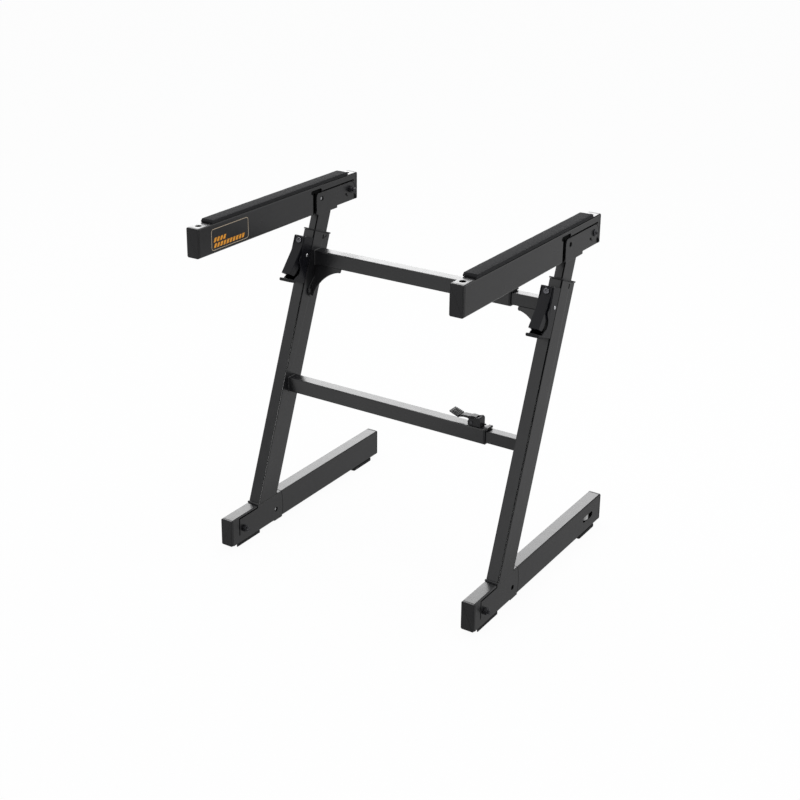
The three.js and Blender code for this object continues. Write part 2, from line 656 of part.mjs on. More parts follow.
function armPad() {
  const z0 = ARM_TOP + GAP;
  const z1 = z0 + ARM_PAD.height;
  const bevel = 5;
  const side = polygon([
    [ARM_PAD.y0, z0],
    [ARM_PAD.y1, z0],
    [ARM_PAD.y1, z0 + 3],
    [ARM_PAD.y1 - bevel, z1],
    [ARM_PAD.y0 + bevel, z1],
    [ARM_PAD.y0, z0 + 3],
  ]);
  const half = ARM_PAD.width / 2;
  const crown = new THREE.Shape();
  crown.moveTo(-half, z0);
  crown.lineTo(half, z0);
  crown.lineTo(half, z1 - 4);
  crown.bezierCurveTo(half, z1 - 1.2, half - 2, z1 - 0.7, half - 4, z1 - 0.5);
  crown.quadraticCurveTo(0, z1 + 0.1, -half + 4, z1 - 0.5);
  crown.bezierCurveTo(-half + 2, z1 - 0.7, -half, z1 - 1.2, -half, z1 - 4);
  return alongX(side, -half, half).intersect(alongY(crown, ARM_PAD.y0 - 1, ARM_PAD.y1 + 1, 3));
}

// One side frame. side is -1 for the left one and +1 for the right one

function sideFrame(side) {
  const name = side < 0 ? "left" : "right";
  const inward = -side;
  const levelled = side > 0;
  const frame = new THREE.Group();
  frame.position.x = side * FRAME_X;
  const zFoot = (FOOT_BOTTOM + FOOT_TOP) / 2;
  const zArm = (ARM_BOTTOM + ARM_TOP) / 2;
  const boreW = TUBE_W - 2 * WALL - 2 * GAP;
  const boreD = TUBE_D - 2 * WALL - 2 * GAP;
  const channelW = 2 * PLATE_IN - 2 * GAP;

  addPiece(frame, `${name}_foot_bracket`, footBracket(), MATERIALS.coated);
  const footCap = tubeCap(FOOT_FRONT, -1, channelW, 3.5, TUBE_D - 6.4, zFoot);
  addPiece(frame, `${name}_foot_bracket_cap`, footCap, MATERIALS.plastic);
  addPiece(frame, `${name}_front_pad_inner`, frontPad(inward), MATERIALS.rubber);
  addPiece(frame, `${name}_front_pad_outer`, frontPad(-inward), MATERIALS.rubber);
  addPiece(frame, `${name}_foot_tube`, footTube(inward, levelled), MATERIALS.coated);
  addPiece(frame, `${name}_foot_end_cap`, tubeCap(FOOT_REAR, 1, boreW, 8, boreD, zFoot), MATERIALS.plastic);
  if (levelled) {
    addPiece(frame, `${name}_levelling_foot`, levellingFoot(), MATERIALS.rubber);
    const wheel = addPiece(frame, "level_wheel", levelWheel(), MATERIALS.zinc);
    wheel.position.y = LEVEL_WHEEL.y;
  } else {
    addPiece(frame, `${name}_rear_pad`, rearPad(), MATERIALS.rubber);
  }
  addHingeBolt(frame, `${name}_foot`, FOOT_BOLT, 1);
  addLockPin(frame, `${name}_foot_lock_pin`, FOOT_LOCK, inward);

  const leg = new THREE.Group();
  leg.position.set(0, LEG_BASE.y, LEG_BASE.z);
  leg.rotation.x = -deg(LEG_TILT);
  frame.add(leg);
  addPiece(leg, `${name}_leg_tube`, legTube(), MATERIALS.coated);
  addPiece(leg, `${name}_leg_bush`, legBush(), MATERIALS.plastic);
  addPiece(leg, `${name}_latch_housing`, latchHousing(), MATERIALS.latch);
  addPiece(leg, `${name}_latch_lever`, latchLever(), MATERIALS.latch);
  addPiece(leg, `${name}_latch_pin`, latchPin(), MATERIALS.blackBolt);
  addPiece(leg, `${name}_inner_tube`, innerTube(), MATERIALS.coated);
  const weldedBar = side < 0 ? BAR_OUT : BAR_IN;
  addPiece(leg, `${name}_gusset`, gusset(inward, UPPER_BAR.z - weldedBar.h / 2), MATERIALS.coated);

  addPiece(frame, `${name}_arm_bracket`, armBracket(), MATERIALS.coated);
  addPiece(frame, `${name}_arm_tube`, armTube(inward), MATERIALS.coated);
  addPiece(frame, `${name}_arm_front_cap`, tubeCap(ARM_FRONT, -1, boreW, 8, boreD, zArm), MATERIALS.plastic);
  const rearPlugW = TONGUE_W - 2 * PLATE - 2 * GAP;
  const rearCap = tubeCap(ARM_REAR, 1, rearPlugW, 8, boreD - 1, zArm);
  addPiece(frame, `${name}_arm_rear_cap`, rearCap, MATERIALS.plastic);
  addPiece(frame, `${name}_arm_pad`, armPad(), MATERIALS.foam);
  addHingeBolt(frame, `${name}_arm`, ARM_BOLT, inward);
  addLockPin(frame, `${name}_arm_lock_pin`, ARM_LOCK, inward);
  return frame;
}

// Crossbars: the outer tube is welded to the left leg, the inner one to the right leg

const LEG_FACE = FRAME_X - HALF_W; // inner face of a leg, from the centre of the stand

function barTube(bar, size, x0, x1) {
  return alongX(tubeSection(size.d, size.h, size.r, BAR_WALL, bar.y, bar.z), x0, x1);
}

function outerBar(bar) {
  return barTube(bar, BAR_OUT, -LEG_FACE + GAP, bar.end);
}

function innerBar(bar) {
  return barTube(bar, BAR_IN, INNER_BAR_START, LEG_FACE - GAP);
}

// End bush of an outer bar: a rim, a sleeve in the bore and a raised thumb edge on top
function barBush(bar) {
  const rimStart = bar.end + GAP;
  const rimEnd = rimStart + BAR_BUSH_LIP;
  const sleeveLength = 20;
  const slack = 2 * BAR_WALL + 2 * 0.15;
  const clear = 0.25;
  const edgeHalf = 12;
  const edgeTop = bar.z + BAR_OUT.h / 2 + 3.2;
  const edge = new THREE.Shape();
  edge.moveTo(bar.y - edgeHalf, bar.z);
  edge.lineTo(bar.y + edgeHalf, bar.z);
  edge.absarc(bar.y + edgeHalf - 4, edgeTop - 4, 4, 0, Math.PI / 2, false);
  edge.absarc(bar.y - edgeHalf + 6, edgeTop - 6, 6, Math.PI / 2, Math.PI, false);
  const rim = roundedRect(BAR_OUT.d, BAR_OUT.h, BAR_OUT.r, bar.y, bar.z);
  const sleeve = roundedRect(BAR_OUT.d - slack, BAR_OUT.h - slack, 0.8, bar.y, bar.z);
  const bore = roundedRect(BAR_IN.d + 2 * clear, BAR_IN.h + 2 * clear, BAR_IN.r, bar.y, bar.z);
  const below = block(rimEnd, rimEnd + 10, bar.y - 20, bar.y + 20, bar.z - 20, bar.z + BAR_IN.h / 2 + 1);
  return alongX(rim, rimStart, rimEnd)
    .add(alongX(sleeve, rimStart - sleeveLength, rimEnd - 1))
    .add(alongX(edge, rimStart, rimEnd + 3.6, 3).subtract(below))
    .subtract(alongX(bore, rimStart - sleeveLength - 5, rimEnd + 12));
}

// Cam clamp on the lower bar: two cheeks joined by a bent strap, a lever with its cam, a pad below

const CLAMP_PIVOT = { x: 163, z: 314.2 };
const CLAMP_BASE = LOWER_BAR.z + BAR_OUT.h / 2 + GAP;
const CLAMP_BODY = { x0: 154.5, x1: 181.5, top: 327.2, half: 9.5 };
const CLAMP_CHEEK = 2.2;
const CLAMP_STRAP = { bend: 5, wall: 2.2 }; // the strap bends down to the bar behind the lever's hub
const CAM_R = 6;

function clampBody() {
  const { x0, x1, top, half } = CLAMP_BODY;
  const { bend, wall } = CLAMP_STRAP;
  const bendX = x1 - bend;
  const inside = half - CLAMP_CHEEK;
  const outline = new THREE.Shape();
  outline.moveTo(x0, CLAMP_BASE);
  outline.lineTo(x0, CLAMP_PIVOT.z);
  outline.absarc(CLAMP_PIVOT.x, CLAMP_PIVOT.z, CLAMP_PIVOT.x - x0, Math.PI, deg(80), true);
  outline.lineTo(bendX, top);
  outline.absarc(bendX, top - bend, bend, Math.PI / 2, 0, true);
  outline.lineTo(x1, CLAMP_BASE);
  const room = new THREE.Shape();
  room.moveTo(x0 - 5, CLAMP_BASE - 1);
  room.lineTo(x0 - 5, top + 5);
  room.lineTo(bendX, top + 5);
  room.lineTo(bendX, top - wall);
  room.absarc(bendX, top - bend, bend - wall, Math.PI / 2, 0, true);
  room.lineTo(x1 - wall, CLAMP_BASE - 1);
  const reach = half + 1.2;
  const pivot = rodY(2.5, LOWER_BAR.y - reach, LOWER_BAR.y + reach, CLAMP_PIVOT.x, CLAMP_PIVOT.z, 10);
  const stub = rodX(1.5, x1 - 1, x1 + 5, LOWER_BAR.y + 5, CLAMP_BASE + 3, 8);
  return alongY(outline, LOWER_BAR.y - half, LOWER_BAR.y + half, 4)
    .subtract(alongY(room, LOWER_BAR.y - inside, LOWER_BAR.y + inside, 3))
    .add(pivot)
    .add(stub);
}

// The lever's hub fills the space between the cheeks; its neck bends down to a broad thumb paddle
function clampLever() {
  const neckHalf = 6.8;
  const paddleHalf = 11.5;
  const lever = new THREE.Shape();
  lever.moveTo(171, 326.4);
  lever.lineTo(160.5, 327);
  lever.lineTo(156, 325.2);
  lever.lineTo(141.5, 324.6);
  lever.lineTo(134, 321.5);
  lever.lineTo(135, 318.4);
  lever.lineTo(144, 320.4);
  lever.lineTo(153, 320.2);
  lever.absarc(CLAMP_PIVOT.x, CLAMP_PIVOT.z, CAM_R, deg(160), deg(330), false);
  const paddle = polygon([[116.2, 326], [115.6, 328.8], [134.5, 322.4], [135.5, 318.6]]);
  return alongY(lever, LOWER_BAR.y - neckHalf, LOWER_BAR.y + neckHalf, 7)
    .add(alongY(paddle, LOWER_BAR.y - paddleHalf, LOWER_BAR.y + paddleHalf))
    .subtract(rodY(2.8, LOWER_BAR.y - 20, LOWER_BAR.y + 20, CLAMP_PIVOT.x, CLAMP_PIVOT.z, 10));
}

const CLAMP_PAD = { size: 12, clear: 0.3 };

function squareUnderCam(half, z0, z1) {
  const { x } = CLAMP_PIVOT;
  const { y } = LOWER_BAR;
  return block(x - half, x + half, y - half, y + half, z0, z1);
}

function clampPad() {
  const top = CLAMP_PIVOT.z - CAM_R - GAP;
  const bottom = LOWER_BAR.z + BAR_IN.h / 2 + GAP;
  return squareUnderCam(CLAMP_PAD.size / 2, bottom, top);
}

function clampHole() {
  const z = LOWER_BAR.z + BAR_OUT.h / 2;
  return squareUnderCam(CLAMP_PAD.size / 2 + CLAMP_PAD.clear, z - 4, z + 4);
}

// The stand

const stand = new THREE.Group();
stand.position.x = -BOX_SHIFT;
stand.add(sideFrame(-1));
stand.add(sideFrame(1));
addPiece(stand, "lower_outer_bar", outerBar(LOWER_BAR).subtract(clampHole()), MATERIALS.coated);
addPiece(stand, "lower_inner_bar", innerBar(LOWER_BAR), MATERIALS.coated);
addPiece(stand, "lower_bar_bush", barBush(LOWER_BAR), MATERIALS.plastic);
addPiece(stand, "upper_outer_bar", outerBar(UPPER_BAR), MATERIALS.coated);
addPiece(stand, "upper_inner_bar", innerBar(UPPER_BAR), MATERIALS.coated);
addPiece(stand, "upper_bar_bush", barBush(UPPER_BAR), MATERIALS.plastic);
addPiece(stand, "clamp_body", clampBody(), MATERIALS.plastic);
addPiece(stand, "clamp_lever", clampLever(), MATERIALS.plastic);
addPiece(stand, "clamp_pad", clampPad(), MATERIALS.zinc);

export default stand;
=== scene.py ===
# %% [markdown]
# A folding z keyboard stand is almost all steel tube with a thin black powder coat. The packed
# model already holds every tube, bracket and pin at its real size. This notebook gives them eased
# edges, finishes and the small things that a welder and a fitter add. We load the model first.
# Places on the stand are in millimetres: x runs across it, y towards its back and z up.

# %% Load the imported model
import json
import math

import bmesh
import bpy
from mathutils import Euler, Matrix, Vector


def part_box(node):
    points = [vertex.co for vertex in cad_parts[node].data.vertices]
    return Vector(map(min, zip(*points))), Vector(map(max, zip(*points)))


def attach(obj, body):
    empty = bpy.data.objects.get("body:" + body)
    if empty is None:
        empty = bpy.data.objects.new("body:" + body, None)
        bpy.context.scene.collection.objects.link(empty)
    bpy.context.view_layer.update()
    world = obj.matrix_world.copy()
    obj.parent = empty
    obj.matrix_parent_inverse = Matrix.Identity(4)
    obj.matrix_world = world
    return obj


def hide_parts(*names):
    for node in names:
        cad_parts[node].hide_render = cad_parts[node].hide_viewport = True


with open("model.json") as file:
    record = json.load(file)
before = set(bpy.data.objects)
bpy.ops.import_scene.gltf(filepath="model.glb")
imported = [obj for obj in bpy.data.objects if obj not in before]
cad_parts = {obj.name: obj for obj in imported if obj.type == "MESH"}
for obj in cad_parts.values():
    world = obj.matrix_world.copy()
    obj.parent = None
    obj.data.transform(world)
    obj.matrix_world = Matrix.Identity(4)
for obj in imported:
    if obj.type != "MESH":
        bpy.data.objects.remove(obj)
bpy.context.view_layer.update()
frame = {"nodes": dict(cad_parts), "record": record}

MM = 0.001
nodes = frame["nodes"]
record = frame["record"]

# %% [markdown]
# The photograph was taken from the front right, a little above the arms, with a longish lens. The
# camera's place, turn and lens come from lining up the stand's straight edges with the picture, and
# a small lens shift puts the stand left of the middle, as the photographer framed it.

# %% Camera
CAMERA_PLACE = Vector((1366.6, -2178.0, 1423.9)) * MM
CAMERA_TURN = math.radians(33.59)
CAMERA_DIP = math.radians(20.06)
CAMERA_ROLL = math.radians(0.25)
scene = bpy.context.scene


def add_to_scene(name, data):
    thing = bpy.data.objects.new(name, data)
    scene.collection.objects.link(thing)
    return thing


camera_data = bpy.data.cameras.new("camera")
camera_data.sensor_width = 36
camera_data.lens = 64.4
camera_data.shift_x = 0.0314
camera_data.shift_y = -0.1051
camera = add_to_scene("camera", camera_data)
turn = Euler((math.pi / 2 - CAMERA_DIP, 0, CAMERA_TURN)).to_matrix()
roll = Matrix.Rotation(CAMERA_ROLL, 3, "Z")
camera.matrix_world = Matrix.Translation(CAMERA_PLACE) @ (turn @ roll).to_4x4()
bpy.context.scene.camera = camera

# %% [markdown]
# A product shot on white is a white room all round and a big lamp or two. Black paint shows that
# room only as reflections. Seen from low down, the tops of the tubes act almost as mirrors and go
# pale, so what matters most is what they mirror. The world and the floor are white to the camera,
# to gloss and to glass, and plainer where they light a surface, so that a colour renders about as it
# is written. A small share of the floor's white is left to the light on it, so a shadow shows.

# %% World and floor
BACKDROP_RAYS = ("Is Camera Ray", "Is Glossy Ray", "Is Transmission Ray")
WORLD_WHITE = 1.0
FLOOR_WHITE = 0.955
FLOOR_HEIGHT = -0.0005
scene.view_settings.view_transform = "Standard"


def backdrop_share(tree, share):
    path = tree.nodes.new("ShaderNodeLightPath")
    total = None
    for ray in BACKDROP_RAYS:
        socket = path.outputs[ray]
        if total is not None:
            either = tree.nodes.new("ShaderNodeMath")
            either.operation = "MAXIMUM"
            tree.links.new(total, either.inputs[0])
            tree.links.new(socket, either.inputs[1])
            socket = either.outputs[0]
        total = socket
    scaled = tree.nodes.new("ShaderNodeMath")
    scaled.operation = "MULTIPLY"
    scaled.inputs[1].default_value = share
    tree.links.new(total, scaled.inputs[0])
    return scaled.outputs[0]


def blend_by_ray(tree, share, plain, white, output):
    mix = tree.nodes.new("ShaderNodeMixShader")
    tree.links.new(backdrop_share(tree, share), mix.inputs["Fac"])
    tree.links.new(plain.outputs[0], mix.inputs[1])
    tree.links.new(white.outputs[0], mix.inputs[2])
    tree.links.new(mix.outputs[0], output.inputs["Surface"])


def studio_world():
    world = bpy.data.worlds.new("white_studio")
    world.use_nodes = True
    tree = world.node_tree
    tree.nodes.clear()
    plain = tree.nodes.new("ShaderNodeBackground")
    plain.inputs["Color"].default_value = (0.95, 0.97, 1, 1)
    plain.inputs["Strength"].default_value = 0.6
    white = tree.nodes.new("ShaderNodeBackground")
    white.inputs["Color"].default_value = (1, 1, 1, 1)
    white.inputs["Strength"].default_value = 1
    blend_by_ray(tree, WORLD_WHITE, plain, white, tree.nodes.new("ShaderNodeOutputWorld"))
    return world


def floor_material():
    material = bpy.data.materials.new("white_floor")
    material.use_nodes = True
    tree = material.node_tree
    tree.nodes.clear()
    matte = tree.nodes.new("ShaderNodeBsdfDiffuse")
    matte.inputs["Color"].default_value = (0.9, 0.9, 0.9, 1)
    glow = tree.nodes.new("ShaderNodeEmission")
    glow.inputs["Strength"].default_value = 1
    blend_by_ray(tree, FLOOR_WHITE, matte, glow, tree.nodes.new("ShaderNodeOutputMaterial"))
    return material


scene.world = studio_world()
bpy.ops.object.select_all(action="DESELECT")
bpy.ops.mesh.primitive_plane_add(size=60, location=(0, 0, FLOOR_HEIGHT))
floor = bpy.context.object
floor.name = "studio_floor"
floor.data.materials.append(floor_material())
print("white room, floor", floor.dimensions.x, "m wide")

# %% [markdown]
# Four lamps. The overhead bank is the key light and gives the soft shadow. The right bank lifts the
# outer sides a little. The back panel is what the tops of the tubes mirror, and the edge strip is a
# narrow light to the front right that the rounded corners mirror as a fine bright line. These two
# light nothing else, so they are kept out of the diffuse rays, and the right bank out of the gloss.

# %% Lamps
LAMPS = (
    # name, place and aim in metres, width, height, power in watts
    ("overhead_bank", (-0.2, 0.6, 2.8), (0, 0, 0.4), 2.4, 2.2, 40),
    ("right_bank", (2.6, -0.9, 1.4), (0, 0, 0.4), 1.6, 1.6, 8),
    ("back_panel", (-1.55, 2.35, 1.5), (0, 0, 0.35), 2.8, 1.9, 60),
    ("edge_strip", (2.62, -2.2, 0.5), (-0.27, -0.2, 0.3), 0.5, 0.9, 14),
)


def soft_lamp(name, place, aim, width, height, power):
    data = bpy.data.lights.new(name, "AREA")
    data.shape = "RECTANGLE"
    data.size = width
    data.size_y = height
    data.energy = power
    lamp = add_to_scene(name, data)
    lamp.location = place
    lamp.rotation_euler = (Vector(aim) - Vector(place)).to_track_quat("-Z", "Y").to_euler()
    return lamp


lamps = {row[0]: soft_lamp(*row) for row in LAMPS}
lamps["right_bank"].visible_glossy = False
for mirrored in ("back_panel", "edge_strip"):
    lamps[mirrored].visible_camera = False
    lamps[mirrored].visible_diffuse = False
print(len(lamps), "lamps")

# %% [markdown]
# Black paint in an all-white room looks grey, so a photographer stands dark cards where the paint
# would mirror white. The sides of the tubes lean their reflections down to the floor, so a grey card
# lies there, with lighter ones on it for the crossbars and the left leg and a darker one for the
# right foot. One more grey card stands low at the front left, for the leaning front of the left leg.
# Black cards stand to the right, behind the camera and at the back, and the rounded corners mirror
# them as dark lines. The cards show in gloss only: the floor stays white.

# %% Dark cards for the gloss
LYING = (0, 0, 0)
FACING_FRONT = (math.pi / 2, 0, 0)
FACING_SIDE = (0, math.pi / 2, 0)
CARDS = (
    # name, place in metres, turn, width, height, grey
    ("floor_card", (0.3, 0.6, -0.0004), LYING, 9, 9, 0.52),
    ("bar_card", (-0.75, -1.0, -0.0003), LYING, 1.1, 1.3, 0.85),
    ("leg_card", (0.06, 0.33, -0.0003), LYING, 0.42, 0.85, 0.7),
    ("upper_leg_card", (0.31, 1.0, -0.0003), LYING, 0.4, 0.5, 0.7),
    ("foot_card", (0.335, 0.1, -0.0003), LYING, 0.11, 0.8, 0.4),
    ("right_card", (3.2, -1.0, 1.1), FACING_SIDE, 2.4, 4.4, 0.0),
    ("front_card", (1.7, -3.1, 1.1), FACING_FRONT, 3.2, 2.4, 0.0),
    ("left_card", (-2.8, -3.1, 0.6), FACING_FRONT, 2.4, 1.4, 0.45),
    ("back_card", (0.95, 3.2, 1.7), FACING_FRONT, 1.7, 2.0, 0.0),
)


def gloss_card(name, place, turn, width, height, grey):
    material = bpy.data.materials.new(name)
    material.use_nodes = True
    tree = material.node_tree
    tree.nodes.clear()
    output = tree.nodes.new("ShaderNodeOutputMaterial")
    glow = tree.nodes.new("ShaderNodeEmission")
    glow.inputs["Color"].default_value = (grey, grey, grey, 1)
    tree.links.new(glow.outputs[0], output.inputs["Surface"])
    bpy.ops.object.select_all(action="DESELECT")
    bpy.ops.mesh.primitive_plane_add(size=1, location=place, rotation=turn)
    card = bpy.context.object
    card.name = name
    card.scale = (width, height, 1)
    card.data.materials.append(material)
    card.visible_camera = False
    card.visible_diffuse = False
    card.visible_transmission = False
    card.visible_shadow = False


for row in CARDS:
    gloss_card(*row)
print(len(CARDS), "cards")

# %% [markdown]
# Every finish starts from one recipe: a colour, a gloss and how strongly it mirrors, which is its
# specular level. Real surfaces are never even, so noise on Object coordinates varies the gloss and
# the colour a little, and drives a small bump. Object coordinates are the stand's own metres, so
# the grain has its real size, and no two tubes look cut from one print.

# %% Finish recipes
def finish(name, color, roughness, metal=0.0, specular=0.5, sheen=0.0):
    material = bpy.data.materials.new(name)
    material.use_nodes = True
    shader = material.node_tree.nodes["Principled BSDF"]
    shader.inputs["Base Color"].default_value = (*color, 1)
    shader.inputs["Roughness"].default_value = roughness
    shader.inputs["Metallic"].default_value = metal
    shader.inputs["Specular IOR Level"].default_value = specular
    shader.inputs["Sheen Weight"].default_value = sheen
    return material


def noise(tree, scale, detail=2.0):
    coordinates = tree.nodes.new("ShaderNodeTexCoord")
    texture = tree.nodes.new("ShaderNodeTexNoise")
    texture.inputs["Scale"].default_value = scale
    texture.inputs["Detail"].default_value = detail
    tree.links.new(coordinates.outputs["Object"], texture.inputs["Vector"])
    return texture


def uneven_gloss(material, scale, low, high):
    tree = material.node_tree
    spread = tree.nodes.new("ShaderNodeMapRange")
    spread.inputs["To Min"].default_value = low
    spread.inputs["To Max"].default_value = high
    tree.links.new(noise(tree, scale).outputs["Fac"], spread.inputs["Value"])
    tree.links.new(spread.outputs["Result"], tree.nodes["Principled BSDF"].inputs["Roughness"])


def uneven_color(material, scale, dark, light):
    tree = material.node_tree
    ramp = tree.nodes.new("ShaderNodeValToRGB")
    ramp.color_ramp.elements[0].position = 0.3
    ramp.color_ramp.elements[0].color = (*dark, 1)
    ramp.color_ramp.elements[1].position = 0.7
    ramp.color_ramp.elements[1].color = (*light, 1)
    tree.links.new(noise(tree, scale, 4).outputs["Fac"], ramp.inputs["Fac"])
    tree.links.new(ramp.outputs["Color"], tree.nodes["Principled BSDF"].inputs["Base Color"])


def bump(material, scale, height, strength, detail=2.0):
    tree = material.node_tree
    relief = tree.nodes.new("ShaderNodeBump")
    relief.inputs["Strength"].default_value = strength
    relief.inputs["Distance"].default_value = height
    tree.links.new(noise(tree, scale, detail).outputs["Fac"], relief.inputs["Height"])
    tree.links.new(relief.outputs["Normal"], tree.nodes["Principled BSDF"].inputs["Normal"])


print("one recipe, with three kinds of unevenness")

# %% [markdown]
# The powder coat is a thin baked plastic film. It is deep black with a slightly soft gloss, and it
# isn't quite level: it has a fine orange peel, which shows in reflections only. Round the tubes'
# corners it is glossier, and its colour there is painted darker, as painted shade for the dark line
# that the corners mirror. The latch housings and levers have a smoother coat that mirrors less. The
# faces inside narrow slots and seams get a dull flat black, which is painted shade.

# %% Coats on steel
powder_coat = finish("powder_coat", (0.0065, 0.0065, 0.0075), 0.3, specular=0.6)
uneven_color(powder_coat, 14, (0.0055, 0.0055, 0.0065), (0.008, 0.008, 0.009))
uneven_gloss(powder_coat, 60, 0.25, 0.34)
bump(powder_coat, scale=900, height=0.00012, strength=0.22)

# Painted shade: the corners are glossier, and painted darker than the coat to deepen the dark line
# they mirror.
corner_gloss_painted_dark = finish("corner_gloss_painted_dark", (0.003, 0.003, 0.0035), 0.12, specular=0.5)
uneven_gloss(corner_gloss_painted_dark, 30, 0.11, 0.13)

latch_coat = finish("latch_coat", (0.006, 0.006, 0.008), 0.22, specular=0.22)
uneven_gloss(latch_coat, 80, 0.17, 0.27)
bump(latch_coat, scale=1200, height=0.0001, strength=0.15)

# Painted shade: a dull flat black for the faces inside the slots and seams of the folding joints.
painted_recess_shade = finish("painted_recess_shade", (0.003, 0.003, 0.0032), 0.85, specular=0.08)
uneven_color(painted_recess_shade, 90, (0.002, 0.002, 0.002), (0.004, 0.004, 0.0042))
print("four coats")

# %% [markdown]
# The caps, the bushes and the width clamp are moulded plastic with a fine even grain. The floor pads
# and the latch sleeves are dull rubber, and the strips on the arms are closed-cell foam, which
# hardly mirrors at all. The levelling wheel is a pale grey moulding.

# %% Plastics, rubber and foam
moulding = finish("moulded_plastic", (0.008, 0.008, 0.009), 0.42, specular=0.35)
uneven_color(moulding, 30, (0.006, 0.006, 0.007), (0.01, 0.01, 0.011))
bump(moulding, scale=2600, height=0.00008, strength=0.35)

rubber = finish("floor_rubber", (0.01, 0.01, 0.011), 0.72, specular=0.3)
bump(rubber, scale=1500, height=0.0001, strength=0.4)

foam = finish("closed_cell_foam", (0.016, 0.016, 0.017), 0.92, specular=0.1, sheen=0.06)
uneven_color(foam, 260, (0.013, 0.013, 0.014), (0.02, 0.02, 0.021))
bump(foam, scale=1400, height=0.0003, strength=0.55, detail=4)

grey_moulding = finish("grey_moulding", (0.45, 0.45, 0.44), 0.42)
bump(grey_moulding, scale=2000, height=0.00006, strength=0.3)
print("two mouldings, rubber and foam")

# %% [markdown]
# The small hardware is metal. The latch rivets, the lock buttons and the clamp's pad have bright
# zinc. The hinge bolts, their nuts and the clamp's rivets are chemically blackened, and the height
# pins are darker polished steel. Metal has its colour in its reflection, so only its gloss is uneven.

# %% Metals
zinc = finish("zinc_plate", (0.72, 0.73, 0.75), 0.26, metal=1.0)
uneven_gloss(zinc, 300, 0.2, 0.34)

black_steel = finish("blackened_steel", (0.05, 0.05, 0.054), 0.32, metal=0.7)
uneven_gloss(black_steel, 400, 0.24, 0.4)

pin_steel = finish("pin_head_steel", (0.12, 0.12, 0.13), 0.24, metal=1.0)
uneven_gloss(pin_steel, 400, 0.18, 0.3)

FINISHES = {
    "coated_steel": powder_coat,
    "latch_steel": latch_coat,
    "black_plastic": moulding,
    "black_rubber": rubber,
    "foam": foam,
    "zinc": zinc,
    "black_steel": black_steel,
    "grey_plastic": grey_moulding,
}
SLOT_OF = {row["node"]: row["material_slot"] for row in record["subparts"]}
BODY_OF = {n: body for body, held in record["behaviour"]["bodies"].items() for n in held}
print(len(FINISHES), "finishes for", len(SLOT_OF), "nodes")

# %% [markdown]
# The imported meshes are loose triangles, so we work on copies: join the corners that coincide and
# dissolve the flat triangles back into whole faces. The small helpers here select a piece, apply a
# modifier to it, cut it with another shape, slice it, turn its faces outwards, and give it its
# finish and body.

# %% Helpers for working on a piece
SAME_CORNER = 0.04 * MM
FLAT_TURN = math.radians(0.8)


def pick(*objects):
    bpy.ops.object.select_all(action="DESELECT")
    for each in objects:
        each.select_set(True)
    bpy.context.view_layer.objects.active = objects[0]


def apply_modifier(piece, kind, **settings):
    modifier = piece.modifiers.new(kind.lower(), kind)
    for key, value in settings.items():
        setattr(modifier, key, value)
    pick(piece)
    bpy.ops.object.modifier_apply(modifier=modifier.name)


def copy_of(node, name):
    piece = add_to_scene(name, nodes[node].data.copy())
    pick(piece)
    bpy.ops.object.mode_set(mode="EDIT")
    bpy.ops.mesh.select_all(action="SELECT")
    bpy.ops.mesh.remove_doubles(threshold=SAME_CORNER)
    bpy.ops.mesh.dissolve_limited(angle_limit=FLAT_TURN)
    bpy.ops.object.mode_set(mode="OBJECT")
    return piece


def cut(piece, cutter):
    apply_modifier(piece, "BOOLEAN", operation="DIFFERENCE", solver="EXACT", object=cutter)
    bpy.data.objects.remove(cutter)


def slice_at(shape, point, normal):
    bmesh.ops.bisect_plane(shape, geom=shape.verts[:] + shape.edges[:] + shape.faces[:],
                           plane_co=point, plane_no=normal)


def face_outwards(piece):
    pick(piece)
    bpy.ops.object.mode_set(mode="EDIT")
    bpy.ops.mesh.select_all(action="SELECT")
    bpy.ops.mesh.normals_make_consistent(inside=False)
    bpy.ops.object.mode_set(mode="OBJECT")


def dress(piece, material, body, slot, *stands_for):
    piece.data.materials.clear()
    piece.data.materials.append(material)
    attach(piece, body)
    if stands_for:
        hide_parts(*stands_for)


print("helpers ready")

# %% [markdown]
# Button-head bolts take a hexagon key, and the head of the height pin has a cross recess. Both are
# cut from the copy before its edges are eased. The cutter is a six-sided cylinder for the bolts and
# two crossed bars for the pin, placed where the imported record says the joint's axis runs.

# %% Key sockets and cross recesses
KEY_RADIUS = 2.7 * MM
KEY_DEPTH = 4.4 * MM
CROSS_BAR = (6.4 * MM, 1.3 * MM, 2.6 * MM)
JOINT = {row["name"]: row for row in record["behaviour"]["joints"]}
OUT_OF_THE_LEG = Vector(JOINT["left_latch_pin_draw"]["axis"]).normalized()


def middle_of(node):
    low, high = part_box(node)
    return (low + high) / 2


def key_socket(bolt, nut):
    low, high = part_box(bolt)
    middle = middle_of(bolt)
    head_face = high.x if middle.x > middle_of(nut).x else low.x
    bpy.ops.object.select_all(action="DESELECT")
    bpy.ops.mesh.primitive_cylinder_add(
        vertices=6, radius=KEY_RADIUS, depth=KEY_DEPTH, location=(head_face, middle.y, middle.z),
        rotation=(0, math.pi / 2, 0))
    return bpy.context.object


